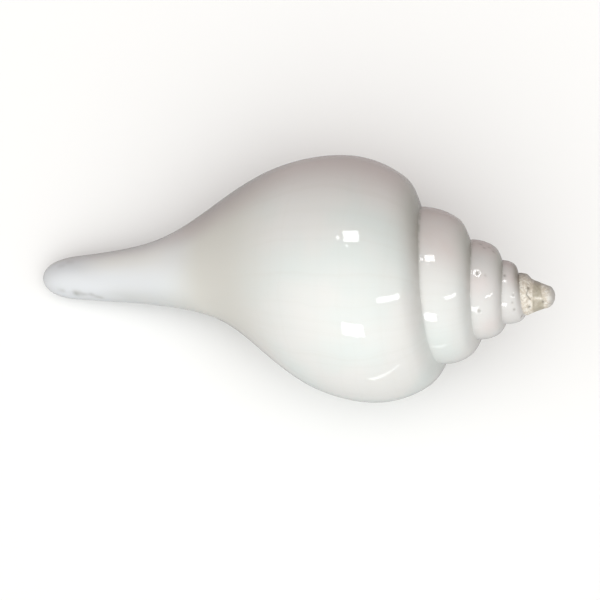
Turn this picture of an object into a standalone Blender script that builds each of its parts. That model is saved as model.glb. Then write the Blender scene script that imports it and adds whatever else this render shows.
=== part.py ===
"""A polished white conch shell of the chank kind, right-handed and grown as one piece.

The shell lies on its aperture, with the apex towards +X and the siphonal canal towards -X.
Lengths in the constants are millimetres. In the shell's own frame the axis of coiling is X,
a distance "down" the axis counts from the point where the spire would come to nothing, and
a "turn" counts whorls from the lip: 0 at the lip, -1 one whorl earlier.
"""

import math

import bmesh
import bpy
import numpy as np
from mathutils import Matrix, Vector

MM = 0.001

# Growth of the coil: each whorl is the one before it, scaled along and across the axis
TURNS = 6.5
AXIAL_GROWTH = 1.51
LIP_ANGLE = math.radians(135.0)

# Outside of the whorl where it ends at the lip: distance down the axis, radius.
# The first point is the suture, where the whorl meets the one before it.
WHORL_OUTLINE = (
    (41.0, 25.8),
    (43.0, 30.6),
    (47.0, 35.2),
    (54.0, 38.9),
    (64.0, 40.9),
    (75.0, 39.9),
    (88.0, 35.2),
    (102.0, 25.8),
    (118.0, 14.0),
    (135.0, 7.8),
    (155.0, 4.0),
)
SUTURE_DOWN, SUTURE_RADIUS = WHORL_OUTLINE[0]

# The spire's whorls are a little fuller than the last one is
BARREL = 1.1
BARREL_LEAN = 0.65
BARREL_STARTS = -1.0

# Two of the spire's sutures lie squarer across the axis than an even spiral
WANDER = 1.0
WANDER_MEAN = -0.2
WANDER_FIRST = -1.0
WANDER_LAST = -3.05
WANDER_PHASE = -0.16
SPIRE_FADE = 0.2

# The whorls next to the nucleus are worn down to a nearly smooth cone
WORN_STARTS = -3.65
WORN_FADE = 0.5
WORN_SHARE = 0.9
WORN_BULGE = 1.06

# Nucleus
NUCLEUS_SWELL = 1.7
NUCLEUS_REACH = 7.0
NOSE_DOWN = 1.2
NOSE_SHRINK = Vector((0.25, 0.6, 0.6))

# Siphonal canal: a slim tube that the last whorl runs into, set a little off the axis
TIP_DOWN = 151.4
TIP_DOME = 11.0
TIP_BLUNTNESS = 2.6
CANAL_RADIUS = 6.2
CANAL_TAPER = 0.043
CANAL_MIDDLE = 130.0
CANAL_STARTS = 64.0
CANAL_FULL = 95.0
CANAL_OFFSET = 2.0
CANAL_OFFSET_ANGLE = math.radians(110.0)
CANAL_OFFSET_FULL = 114.0
CANAL_BLEND = 3.0

# Aperture, lip and the hollow inside
WALL = 2.6
WALL_BEHIND_LIP = 4.6
THICKENING_TURNS = 0.15
CALLUS = 0.5
CALLUS_SPREAD = 10.0 / 360.0
CALLUS_FULL = 53.0
CANAL_SLOT = 35.0 / 360.0
SLOT_STARTS = 85.0
SLOT_FULL = 120.0
PILLAR_RADIUS = 5.4
PILLAR_TIP_RADIUS = 3.0
PILLAR_STARTS = 44.0
PILLAR_FULL = 74.0
HOLLOW_START = 42.6
HOLLOW_END = 128.0
HOLLOW_TURNS = 1.15
HOLLOW_ROUND = 0.15
HOLLOW_MIDDLE = 0.4
POSTERIOR_ROUND = 5.0
ANTERIOR_ROUND = 9.0
CHANNEL_REACH = 20.0
CHANNEL_DEPTH = 0.2
FOLDS_DOWN = (68.0, 76.0, 84.5)
FOLD_HEIGHT = 1.5
FOLD_WIDTH = 2.2
FOLD_FADE_TURNS = 0.05
LIP_ROUND_AT_SUTURE = 0.03
LIP_ROUND_AT_TIP = 0.05

# Attitude at rest: turned about the axis, then tipped nose up
REST_ROLL = math.radians(13.40)
REST_PITCH = math.radians(13.29)

# Finish
SHELL_COLOUR = (0.86, 0.87, 0.84, 1.0)
SHELL_ROUGHNESS = 0.12

# Facets: columns to a turn, and rows from the suture to the tip of the canal
COLUMNS = 32
SHOULDER_ROWS = 7
SIDE_ROWS = 14
BASE_ROWS = 8
DOME_ROWS = 5
STRIP_ROWS = 4
SHOULDER_CROWDING = 1.5
SIDE_SHARE = 0.48
BASE_SHARE = 0.90
ROWS = SHOULDER_ROWS + SIDE_ROWS + BASE_ROWS + DOME_ROWS
HOLLOW_ROWS = 2 * ROWS - SHOULDER_ROWS
SHOULDER_SHARE = SUTURE_DOWN * (1.0 - 1.0 / AXIAL_GROWTH) / (TIP_DOWN - SUTURE_DOWN / AXIAL_GROWTH)
WELD = 0.000001


def ease(value):
    """Rise smoothly from 0 to 1 as value goes from 0 to 1."""
    value = min(max(value, 0.0), 1.0)
    return value * value * (3.0 - 2.0 * value)


def mix(start, end, share):
    return start + (end - start) * share


def rounding(distance, length):
    """Quarter circle from 0 at an end to 1 at a length away from it."""
    share = min(max(distance / length, 0.0), 1.0)
    return math.sqrt(share * (2.0 - share))


def smooth_curve(points):
    """Return the natural cubic spline through points, as a function."""
    places, values = np.array(points).T
    widths = np.diff(places)
    rises = np.diff(values) / widths
    system = np.eye(len(places))
    pull = np.zeros(len(places))
    for i in range(1, len(widths)):
        system[i, i - 1:i + 2] = widths[i - 1], 2.0 * (widths[i - 1] + widths[i]), widths[i]
        pull[i] = 6.0 * (rises[i] - rises[i - 1])
    bends = np.linalg.solve(system, pull)

    def curve(place):
        place = min(max(place, places[0]), places[-1])
        i = min(int(np.searchsorted(places, place, "right")), len(widths)) - 1
        near, far, width = place - places[i], places[i + 1] - place, widths[i]
        value = (bends[i] * far ** 3 + bends[i + 1] * near ** 3) / (6.0 * width)
        value += (values[i] / width - bends[i] * width / 6.0) * far
        value += (values[i + 1] / width - bends[i + 1] * width / 6.0) * near
        return float(value)

    return curve


whorl_outline = smooth_curve(WHORL_OUTLINE)
RADIAL_GROWTH = whorl_outline(SUTURE_DOWN * AXIAL_GROWTH) / SUTURE_RADIUS
TAPER = math.log(RADIAL_GROWTH) / math.log(AXIAL_GROWTH)


def suture_down(turn):
    """Distance down the axis to the suture that starts a whorl, at one turn."""
    return SUTURE_DOWN * AXIAL_GROWTH ** turn


def wander(turn):
    """How far down the axis a suture strays from the even spiral."""
    fullness = ease((WANDER_FIRST - turn) / SPIRE_FADE) * ease((turn - WANDER_LAST) / SPIRE_FADE)
    return (WANDER_MEAN - WANDER * math.cos(math.tau * (turn - WANDER_PHASE))) * fullness


def barrel(turn, down):
    """How much fuller the spire's whorls are between their sutures than the last one is."""
    size = AXIAL_GROWTH ** turn
    share = min(max((down / size - SUTURE_DOWN) / (SUTURE_DOWN * (AXIAL_GROWTH - 1.0)), 0.0), 1.0)
    fullness = ease((BARREL_STARTS - turn) / SPIRE_FADE)
    return BARREL * size * math.sin(math.pi * share ** BARREL_LEAN) * fullness


def nucleus_swell(down):
    """How much wider the nucleus is than an even coil."""
    return NUCLEUS_SWELL * math.exp(-(down / NUCLEUS_REACH) ** 2)


def whorl_radius(turn, down):
    """Outside of the whorl alone, without the canal."""
    even = RADIAL_GROWTH ** turn * whorl_outline(down / AXIAL_GROWTH ** turn)
    return even + barrel(turn, down) + nucleus_swell(down)


def worn_radius(down):
    """Smooth cone through the whorls next to the nucleus."""
    return WORN_BULGE * SUTURE_RADIUS * (down / SUTURE_DOWN) ** TAPER + nucleus_swell(down)


def blend(first, second):
    """The larger of two radii, with a fillet where they are alike."""
    return (first ** CANAL_BLEND + second ** CANAL_BLEND) ** (1.0 / CANAL_BLEND)


def dome(down):
    """Share of the radius left on the rounded tip of the canal."""
    share = min(max((down - TIP_DOWN + TIP_DOME) / TIP_DOME, 0.0), 1.0)
    return math.sqrt(1.0 - share ** TIP_BLUNTNESS)


def outer_radius(turn, down):
    canal = CANAL_RADIUS + CANAL_TAPER * (CANAL_MIDDLE - down)
    canal *= ease((down - CANAL_STARTS) / (CANAL_FULL - CANAL_STARTS))
    return blend(whorl_radius(turn, down), canal) * dome(down)


def inner_radius(turn, down):
    """Wall of the hollow nearest the axis: the whorl before, the pillar and its folds."""
    pillar = mix(PILLAR_RADIUS, PILLAR_TIP_RADIUS, ease((down - CANAL_FULL) / (CANAL_MIDDLE - CANAL_FULL)))
    pillar *= ease((down - PILLAR_STARTS) / (PILLAR_FULL - PILLAR_STARTS))
    radius = blend(whorl_radius(turn - 1.0, down), pillar) + CALLUS
    for fold in FOLDS_DOWN:
        away = (down / AXIAL_GROWTH ** turn - fold) / FOLD_WIDTH
        radius += FOLD_HEIGHT * math.exp(-away * away) * ease(-turn / FOLD_FADE_TURNS)
    return radius * dome(down)


def wall(turn, down):
    """Thickness of the shell, thinned where the room inside runs out."""
    space = outer_radius(turn, down) - inner_radius(turn, down)
    full = mix(WALL, WALL_BEHIND_LIP, ease(-turn / THICKENING_TURNS))
    return full * space / (space + full)


def place(turn, down, radius, beside=0.0):
    """Put a point of the shell in its own frame, in metres."""
    angle = LIP_ANGLE + math.tau * turn
    shift = CANAL_OFFSET * ease((down - CANAL_STARTS) / (CANAL_OFFSET_FULL - CANAL_STARTS))
    across = Vector((0.0, math.sin(angle), math.cos(angle))) * radius
    across += Vector((0.0, math.cos(angle), -math.sin(angle))) * beside
    across += Vector((0.0, math.sin(CANAL_OFFSET_ANGLE), math.cos(CANAL_OFFSET_ANGLE))) * shift
    return (Vector((-down, 0.0, 0.0)) + across) * MM


def row_share(row):
    """How far down the last whorl a row lies: 0 at the suture, 1 at the tip."""
    if row <= SHOULDER_ROWS:
        return SHOULDER_SHARE * (row / SHOULDER_ROWS) ** SHOULDER_CROWDING
    row -= SHOULDER_ROWS
    if row <= SIDE_ROWS:
        return mix(SHOULDER_SHARE, SIDE_SHARE, row / SIDE_ROWS)
    row -= SIDE_ROWS
    if row <= BASE_ROWS:
        return mix(SIDE_SHARE, BASE_SHARE, row / BASE_ROWS)
    row -= BASE_ROWS
    return mix(BASE_SHARE, 1.0, math.sin(0.5 * math.pi * row / DOME_ROWS))


def gap(row):
    """Turn between the lip and the start of the last whorl's outside, for one row."""
    down = mix(SUTURE_DOWN, TIP_DOWN, (row_share(row) - SHOULDER_SHARE) / (1.0 - SHOULDER_SHARE))
    spread = CALLUS_SPREAD * ease((down - SUTURE_DOWN) / (CALLUS_FULL - SUTURE_DOWN))
    spread += (CANAL_SLOT - CALLUS_SPREAD) * ease((down - SLOT_STARTS) / (SLOT_FULL - SLOT_STARTS))
    return spread * rounding(TIP_DOWN - down, TIP_DOME)


def early_whorls(column, row):
    """The spire: only the part of each whorl that the next one leaves bare."""
    turn = column / COLUMNS - TURNS
    share = row_share(row) / SHOULDER_SHARE
    down = mix(suture_down(turn), suture_down(turn + 1.0), share)
    stray = mix(wander(turn), wander(turn + 1.0), share)
    wear = WORN_SHARE * ease((WORN_STARTS - turn - share) / WORN_FADE)
    return place(turn, down + stray, mix(whorl_radius(turn, down), worn_radius(down), wear))


def last_whorl_point(turn, row):
    """Turn, distance down and radius of a point on the outside of the last whorl."""
    down = mix(suture_down(turn), TIP_DOWN, row_share(row))
    return turn, down, outer_radius(turn, down)


def last_whorl(column, row):
    return place(*last_whorl_point(-(1.0 - gap(row)) * (1.0 - column / COLUMNS), row))


def hollow_point(turn, row):
    """A ring of the hollow: rows run down its outer side, then back up its inner side."""
    growth = AXIAL_GROWTH ** turn
    start = HOLLOW_START * growth
    end = HOLLOW_END * growth + CHANNEL_REACH * ease(1.0 + turn / CHANNEL_DEPTH)
    side = 1.0
    share = row_share(row)
    if row > ROWS:
        side = -1.0
        share = (row_share(2 * ROWS - row) - SHOULDER_SHARE) / (1.0 - SHOULDER_SHARE)
    down = mix(start, end, share)
    inner = inner_radius(turn, down)
    outer = outer_radius(turn, down) - wall(turn, down)
    width = rounding(down - start, POSTERIOR_ROUND * growth) * rounding(end - down, ANTERIOR_ROUND * growth)
    radius = mix(inner, outer, 0.5 + 0.5 * side * width)
    shrink = rounding(turn + HOLLOW_TURNS, HOLLOW_ROUND)
    middle = mix(start, end, HOLLOW_MIDDLE)
    middle_radius = 0.5 * (inner_radius(turn, middle) + outer_radius(turn, middle))
    return turn, mix(middle, down, shrink), mix(middle_radius, radius, shrink)


def hollow(column, row):
    return place(*hollow_point(-column / COLUMNS, row))


def lip_edge(step, row):
    """Round the outer lip over from the outside to the hollow."""
    share = 0.5 - 0.5 * math.cos(math.pi * step / STRIP_ROWS)
    _, down0, radius0 = last_whorl_point(0.0, row)
    _, down1, radius1 = hollow_point(0.0, row)
    thickness = math.hypot(down1 - down0, radius1 - radius0)
    fullness = ease(row_share(row) / LIP_ROUND_AT_SUTURE) * ease((1.0 - row_share(row)) / LIP_ROUND_AT_TIP)
    beside = 0.5 * thickness * math.sin(math.pi * step / STRIP_ROWS) * fullness
    return place(0.0, mix(down0, down1, share), mix(radius0, radius1, share), beside)


def inner_lip(step, row):
    """Lead from the last whorl's start into the hollow: callus above, slot edge below."""
    row += SHOULDER_ROWS
    share = 0.5 - 0.5 * math.cos(math.pi * step / STRIP_ROWS)
    turn, down0, radius0 = last_whorl_point(gap(row) - 1.0, row)
    _, down1, radius1 = hollow_point(0.0, 2 * ROWS - row)
    turn = mix(turn, -1.0, step / STRIP_ROWS)
    return place(turn, mix(down0, down1, share), mix(radius0, radius1, share))


def add_sheet(mesh, columns, rows, point):
    """Lay a grid of faces whose corners are given by point(column, row)."""
    made = bmesh.ops.create_grid(mesh, x_segments=columns, y_segments=rows, size=1.0)
    for vert in made["verts"]:
        column = round((vert.co.x + 1.0) / 2.0 * columns)
        row = round((vert.co.y + 1.0) / 2.0 * rows)
        vert.co = point(column, row)


def close_nose(mesh):
    """Draw the open edge at the nucleus together into a blunt nose."""
    rim = [edge for edge in mesh.edges if edge.is_boundary]
    made = bmesh.ops.extrude_edge_only(mesh, edges=rim)
    inner = [item for item in made["geom"] if isinstance(item, bmesh.types.BMVert)]
    nose = Vector((-NOSE_DOWN * MM, 0.0, 0.0))
    for vert in inner:
        vert.co = nose + (vert.co - nose) * NOSE_SHRINK
    rim = [edge for edge in mesh.edges if edge.is_boundary]
    bmesh.ops.contextual_create(mesh, geom=rim)
    bmesh.ops.poke(mesh, faces=[face for face in mesh.faces if len(face.verts) > 4])


def shell_mesh():
    """Lay the sheets that make the outside and the hollow, and weld them into one skin."""
    mesh = bmesh.new()
    add_sheet(mesh, round((TURNS - 1.0) * COLUMNS), SHOULDER_ROWS, early_whorls)
    add_sheet(mesh, COLUMNS, ROWS, last_whorl)
    add_sheet(mesh, STRIP_ROWS, ROWS, lip_edge)
    add_sheet(mesh, STRIP_ROWS, ROWS - SHOULDER_ROWS, inner_lip)
    add_sheet(mesh, math.ceil(HOLLOW_TURNS * COLUMNS), HOLLOW_ROWS, hollow)
    bmesh.ops.remove_doubles(mesh, verts=mesh.verts, dist=WELD)
    close_nose(mesh)
    bmesh.ops.triangulate(mesh, faces=mesh.faces)
    bmesh.ops.recalc_face_normals(mesh, faces=mesh.faces)
    return mesh


def lay_to_rest(mesh):
    """Tip the shell as it lies on a table, its box standing on the origin."""
    turn = Matrix.Rotation(-REST_PITCH, 4, "Y") @ Matrix.Rotation(REST_ROLL, 4, "X")
    bmesh.ops.transform(mesh, matrix=turn, verts=mesh.verts)
    lows = Vector([min(vert.co[axis] for vert in mesh.verts) for axis in range(3)])
    highs = Vector([max(vert.co[axis] for vert in mesh.verts) for axis in range(3)])
    foot = Vector(((lows.x + highs.x) / 2.0, (lows.y + highs.y) / 2.0, lows.z))
    bmesh.ops.translate(mesh, vec=-foot, verts=mesh.verts)


def porcelain():
    material = bpy.data.materials.new("polished_shell")
    material.use_nodes = True
    shader = material.node_tree.nodes["Principled BSDF"]
    shader.inputs["Base Color"].default_value = SHELL_COLOUR
    shader.inputs["Roughness"].default_value = SHELL_ROUGHNESS
    shader.inputs["Metallic"].default_value = 0.0
    return material


def main():
    for item in list(bpy.data.objects):
        bpy.data.objects.remove(item, do_unlink=True)
    shell = bpy.data.meshes.new("conch_shell")
    mesh = shell_mesh()
    lay_to_rest(mesh)
    mesh.to_mesh(shell)
    mesh.free()
    shell.materials.append(porcelain())
    shell.shade_smooth()
    parts = bpy.data.collections.new("conch shell")
    bpy.context.scene.collection.children.link(parts)
    parts.objects.link(bpy.data.objects.new("conch_shell", shell))


main()
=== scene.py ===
"""A polished white conch shell of the chank kind, its finish, its light and its camera.

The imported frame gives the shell's box and the surface that it lies on. The piece made here grows by
the same coil with a finer skin: worn nucleus, pits, a crack, and a rounded rim round the aperture.

Lengths are metres. In the shell's own frame the axis of coiling is X. A distance "down" the axis
counts from the point where the spire would come to nothing, and a "turn" counts whorls from the
lip: 0 at the lip, -1 one whorl earlier.
"""

import math
from collections import namedtuple

import bmesh
import bpy
import numpy as np
from bpy.props import FloatProperty, FloatVectorProperty, PointerProperty
from mathutils import Matrix, Vector, geometry, noise


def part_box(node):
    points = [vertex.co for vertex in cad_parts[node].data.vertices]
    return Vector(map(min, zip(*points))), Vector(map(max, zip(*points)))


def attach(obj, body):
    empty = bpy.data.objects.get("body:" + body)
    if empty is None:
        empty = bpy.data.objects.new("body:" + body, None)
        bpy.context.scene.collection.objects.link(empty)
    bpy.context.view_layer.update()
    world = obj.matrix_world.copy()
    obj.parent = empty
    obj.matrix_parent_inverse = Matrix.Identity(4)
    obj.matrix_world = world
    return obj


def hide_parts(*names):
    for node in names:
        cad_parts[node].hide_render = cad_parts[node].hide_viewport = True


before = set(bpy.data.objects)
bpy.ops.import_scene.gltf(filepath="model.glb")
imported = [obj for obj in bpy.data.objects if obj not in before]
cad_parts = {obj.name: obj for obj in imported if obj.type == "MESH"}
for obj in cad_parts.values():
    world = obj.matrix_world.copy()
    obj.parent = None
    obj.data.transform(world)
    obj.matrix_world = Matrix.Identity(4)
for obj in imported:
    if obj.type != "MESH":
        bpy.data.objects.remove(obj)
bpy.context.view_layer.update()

bl_info = {
    "name": "Conch Shell",
    "version": (1, 0, 0),
    "blender": (4, 5, 0),
    "location": "View3D > Sidebar > Conch shell",
    "description": "Grows a polished white conch shell and lights it on a pale floor",
    "category": "Add Mesh",
}

CAD_NODE = "conch_shell"
MM = 0.001

# Outside of the whorl where it ends at the lip: millimetres down the axis, and radius.
# The first point is the suture, where the whorl meets the one before it.
WHORL_OUTLINE = (
    (41.0, 25.8),
    (43.0, 30.6),
    (47.0, 35.2),
    (54.0, 38.9),
    (64.0, 40.9),
    (75.0, 39.9),
    (88.0, 35.2),
    (102.0, 25.8),
    (118.0, 14.0),
    (135.0, 7.8),
    (155.0, 4.0),
)
SUTURE_DOWN = WHORL_OUTLINE[0][0] * MM
SUTURE_RADIUS = WHORL_OUTLINE[0][1] * MM

# The spire's whorls are a little fuller than the last one is
BARREL = 1.1 * MM
BARREL_LEAN = 0.65
BARREL_STARTS = -1.0

# Two of the spire's sutures lie squarer across the axis than an even spiral
WANDER = 1.0 * MM
WANDER_MEAN = -0.2 * MM
WANDER_FIRST = -1.0
WANDER_LAST = -3.05
WANDER_PHASE = -0.16
SPIRE_FADE = 0.2

# The whorls next to the nucleus are worn down to a nearly smooth cone
WORN_STARTS = -3.65
WORN_FADE = 0.5
WORN_SHARE = 0.9
WORN_BULGE = 1.06

# Nucleus
NUCLEUS_SWELL = 1.7 * MM
NUCLEUS_REACH = 7.0 * MM
NOSE_DOWN = 1.2 * MM
NOSE_RINGS = 9

# Siphonal canal: a slim tube that the last whorl runs into, set a little off the axis
TIP_DOME = 11.0 * MM
TIP_BLUNTNESS = 2.6
CANAL_TAPER = 0.043
CANAL_MIDDLE = 130.0 * MM
CANAL_STARTS = 64.0 * MM
CANAL_FULL = 95.0 * MM
CANAL_OFFSET = 2.0 * MM
CANAL_OFFSET_ANGLE = math.radians(110.0)
CANAL_OFFSET_FULL = 114.0 * MM
CANAL_BLEND = 3.0

# Aperture, lip and the hollow inside
THICKENING_TURNS = 0.15
CALLUS = 0.5 * MM
CALLUS_SPREAD = 10.0 / 360.0
CALLUS_FULL = 53.0 * MM
CANAL_SLOT = 35.0 / 360.0
SLOT_STARTS = 85.0 * MM
SLOT_FULL = 120.0 * MM
PILLAR_RADIUS = 5.4 * MM
PILLAR_TIP_RADIUS = 3.0 * MM
PILLAR_STARTS = 44.0 * MM
PILLAR_FULL = 74.0 * MM
HOLLOW_START = 42.6 * MM
HOLLOW_END = 128.0 * MM
HOLLOW_TURNS = 1.15
HOLLOW_ROUND = 0.15
HOLLOW_MIDDLE = 0.4
POSTERIOR_ROUND = 5.0 * MM
ANTERIOR_ROUND = 9.0 * MM
CHANNEL_REACH = 20.0 * MM
CHANNEL_DEPTH = 0.2
FOLDS_DOWN = (68.0 * MM, 76.0 * MM, 84.5 * MM)
FOLD_WIDTH = 2.2 * MM
FOLD_FADE_TURNS = 0.05
LIP_ROUND_AT_SUTURE = 0.03
LIP_ROUND_AT_TIP = 0.05

# Skin: columns to a turn outside and in the hollow, and rows from the suture to the tip
COLUMNS = 192
HOLLOW_COLUMNS = 104
SHOULDER_ROWS = 30
SIDE_ROWS = 60
BASE_ROWS = 40
DOME_ROWS = 14
STRIP_ROWS = 12
SHOULDER_CROWDING = 1.5
SIDE_SHARE = 0.48
BASE_SHARE = 0.90
ROWS = SHOULDER_ROWS + SIDE_ROWS + BASE_ROWS + DOME_ROWS
HOLLOW_ROWS = 2 * ROWS - SHOULDER_ROWS
WELD = 0.000001

# What every corner of the skin notes: where it lies, and how much of each finish, painted shade and painted
# light it shows
LAYERS = (
    "turn", "down", "throat", "seam", "shoulder", "rosy_flank_and_shade", "lit_crest", "front",
    "blush", "chalk", "umber", "stain", "grime",
)

# Grime and painted shade in the sutures, and painted shade below them, as shares of a whorl's bare part,
# deepest along the back, the side turned from the light
BACK_TURN = -0.125
SEAM_BELOW = 0.09
SEAM_ABOVE = 0.04
SEAM_IN_FRONT = 0.25
# Painted shade on the shoulder below each suture, only along the back
SHOULDER_WIDTH = 0.24
SHOULDER_REACH = 0.245
SHOULDER_FADE = 0.15

# Rosy tint with painted shade on the side of the outer lip that is turned from the light; painted light on
# the side of the canal that faces up, and painted shade on the side that faces forwards
FLANK_TURN = -0.06
FLANK_REACH = 0.21
FLANK_FADE = 0.12
CREST_TURN = -0.25
CREST_TURNS = 0.08
FRONT_TURN = -0.51
FRONT_TURNS = 0.09

# Chalky whorls, from one suture up, with a brown band that has one pale gap
CHALK_TURN = -4.0
CHALK_FADE = 0.1
CHALK_GRAIN = 0.8 * MM
CHALK_SOFTNESS = 1.0
CHALK_STEP = 2.0
CHALK_OCTAVES = 3
CHALK_RELIEF = 0.07 * MM
UMBER_STARTS_IN_FRONT = 3.6 * MM
UMBER_STARTS_BEHIND = 4.7 * MM
UMBER_ENDS = 7.2 * MM
UMBER_FADE = 0.5 * MM
UMBER_GAP_TURN = -0.40
UMBER_GAP_TURNS = 0.018

# Brown stain at the last white suture, and the soft waves that polishing left
STAIN_TURN = -3.20
STAIN_TURNS = 0.13
STAIN_WIDTH = 0.32
WAVE_LENGTH = 16.0 * MM

# From where to where each colour comes or goes: metres down the axis, turns on the spire, and
# in the throat the share of the way inside
NECK_COMES = (70.0 * MM, 92.0 * MM)
NECK_GOES = (98.0 * MM, 114.0 * MM)
CANAL_COMES = (98.0 * MM, 118.0 * MM)
# Stretch of the canal that carries the painted light on its upper side
CREST_COMES = (104.0 * MM, 116.0 * MM)
CREST_GOES = (128.0 * MM, 142.0 * MM)
FRONT_COMES = (98.0 * MM, 106.0 * MM)
FRONT_GOES = (122.0 * MM, 136.0 * MM)
NUCLEUS_GOES = (1.6 * MM, 4.0 * MM)
SPIRE_GOES = (-2.0, -0.9)
# Turns over which the spire's forward side gets its painted light
SPIRE_WHITENS = (-3.2, -1.8)
THROAT_COMES = (0.3, 1.0)

# How strongly the colours show
CANAL_OVER_FLANK = 0.7
# Strength of the painted shade on the canal's forward side
FRONT_SHARE = 0.35
FRECKLE_SHARE = 0.3
# Strength of the painted shade where the lip's side draws in, on the white and on the chalk
NAPE_SHARE = 0.8
NAPE_ON_CHALK = 0.6
NUCLEUS_SHARE = 0.75
THROAT_SHARE = 0.8
# Strength of the painted light on the spire's forward side
WHITER_SHARE = 0.8

Patches = namedtuple("Patches", "size detail roughness low high")
Uneven = namedtuple("Uneven", "size least spread")
Lines = namedtuple("Lines", "pitch sway share")
Spot = namedtuple("Spot", "turn down radius beside throat stray", defaults=(0.0, 0.0, 0.0))
Pit = namedtuple("Pit", "turn share width depth grime")
Blush = namedtuple("Blush", "turn share width strength")
Stain = namedtuple("Stain", "turn down width grime")
Mark = namedtuple("Mark", "middle width depth grime")
Window = namedtuple("Window", "name place width height twist brightness aim")

# Noise in the colours: patches that show between a low and a high value, and uneven tints
CLOUDS = Patches(24.0 * MM, 2.0, 0.5, 0.42, 0.70)
POWDER = Patches(1.1 * MM, 4.0, 0.65, 0.42, 0.60)
UMBER_PATCHES = Patches(1.6 * MM, 3.0, 0.6, 0.25, 0.60)
UMBER_LEAST = 0.75
FRECKLES = Patches(0.7 * MM, 2.0, 0.5, 0.60, 0.70)
BLUSH_TINT = Uneven(4.0 * MM, 0.5, 1.0)
SEAM_TINT = Uneven(3.0 * MM, 0.25, 0.45)
STAIN_TINT = Uneven(1.6 * MM, 0.55, 0.8)
RELIEF_GRAIN = 0.6 * MM

# Faint lines that sway a little: across the whorls, spaced in turns, and along them, spaced in metres
GROWTH_LINES = Lines(0.012, 0.03, 0.12)
SPIRAL_LINES = Lines(3.0 * MM, 6.0 * MM, 0.06)
LINES_COME = (0.48, 0.72)
SWAY_SIZE = 20.0 * MM
SWAY_DETAIL = 2.0

# Pits and pink patches on the spire. Their share runs from 0 at a suture to 1 at the next.
PITS = (
    Pit(-2.309, 0.74, 0.40 * MM, 0.22 * MM, 0.95),
    Pit(-2.311, 0.49, 0.32 * MM, 0.08 * MM, 0.35),
    Pit(-2.430, 0.70, 0.40 * MM, 0.15 * MM, 0.65),
    Pit(-3.274, 0.84, 0.36 * MM, 0.14 * MM, 0.65),
    Pit(-3.457, 0.33, 0.36 * MM, 0.12 * MM, 0.55),
    Pit(-3.560, 0.06, 0.50 * MM, 0.15 * MM, 0.60),
    Pit(-3.369, 0.33, 0.34 * MM, 0.10 * MM, 0.42),
    Pit(-3.413, 0.40, 0.30 * MM, 0.08 * MM, 0.38),
    Pit(-4.304, 0.31, 0.42 * MM, 0.20 * MM, 0.80),
    Pit(-4.480, 0.38, 0.42 * MM, 0.20 * MM, 0.80),
    Pit(-6.448, 0.86, 0.40 * MM, 0.14 * MM, 0.75),
    Pit(-2.182, 0.68, 0.45 * MM, 0.08 * MM, 0.45),
    Pit(-2.200, 0.57, 0.40 * MM, 0.10 * MM, 0.50),
    Pit(-2.186, 0.42, 0.42 * MM, 0.08 * MM, 0.42),
    Pit(-2.198, 0.28, 0.38 * MM, 0.06 * MM, 0.45),
)
BLUSHES = (
    Blush(-1.257, 0.65, 6.0 * MM, 0.50),
    Blush(-1.290, 0.35, 5.0 * MM, 0.25),
    Blush(-2.340, 0.75, 3.2 * MM, 0.55),
    Blush(-2.160, 0.50, 4.5 * MM, 0.50),
    Blush(-2.497, 0.37, 3.2 * MM, 0.50),
    Blush(-3.280, 0.40, 2.5 * MM, 0.40),
)

# Dark marks near the tip of the canal
STAINS = (
    Stain(-0.499, 139.2 * MM, 1.1 * MM, 0.55),
    Stain(-0.506, 137.2 * MM, 0.8 * MM, 0.28),
    Stain(-0.505, 135.1 * MM, 0.8 * MM, 0.42),
    Stain(-0.524, 133.7 * MM, 0.8 * MM, 0.34),
    Stain(-0.534, 132.3 * MM, 0.8 * MM, 0.30),
    Stain(-0.480, 144.0 * MM, 0.8 * MM, 0.30),
    Stain(-0.268, 144.3 * MM, 0.8 * MM, 0.22),
    Stain(-0.235, 142.0 * MM, 0.9 * MM, 0.20),
)

# Crack in the chalk: the turn and the share of each of its corners
CRACK = ((-4.304, 0.31), (-4.363, 0.49), (-4.405, 0.23))
CRACK_WIDTH = 0.16 * MM
CRACK_DEPTH = 0.15 * MM
CRACK_GRIME = 0.7

# Stage: the room's bright side, five lights that show in the gloss, and a thin strip on the floor
FLOOR_SIZE = 6.0
BRIGHT_SIDE = (-0.05, -0.50, 0.865)
BRIGHT_SPREAD = (0.1, 1.0)
SKIRTING_SPREAD = (0.0, 0.4)
SHELL_TOP = (0.018, -0.01, 0.058)
STRIP_PLACE = (0.1246, -0.1984, 0.002)
ABOVE_STRIP = (0.1246, -0.1984, 1.0)
WINDOWS = (
    Window("window_behind", (-0.047, 0.461, 0.832), 0.26, 0.165, 0.0, 1.0, SHELL_TOP),
    Window("pane_behind", (-0.250, 0.417, 0.815), 0.045, 0.06, 0.0, 0.8, SHELL_TOP),
    Window("lamp_behind", (-0.121, 0.321, 0.890), 0.03, 0.035, 0.0, 0.8, SHELL_TOP),
    Window("window_in_front", (-0.055, -0.757, 0.540), 0.335, 0.19, math.radians(11.0), 1.0, SHELL_TOP),
    Window("window_by_apex", (0.575, -0.245, 0.715), 0.48, 0.075, math.radians(-45.0), 0.8, SHELL_TOP),
    Window("strip_on_floor", STRIP_PLACE, 0.235, 0.016, math.radians(41.0), 0.25, ABOVE_STRIP),
)


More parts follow.
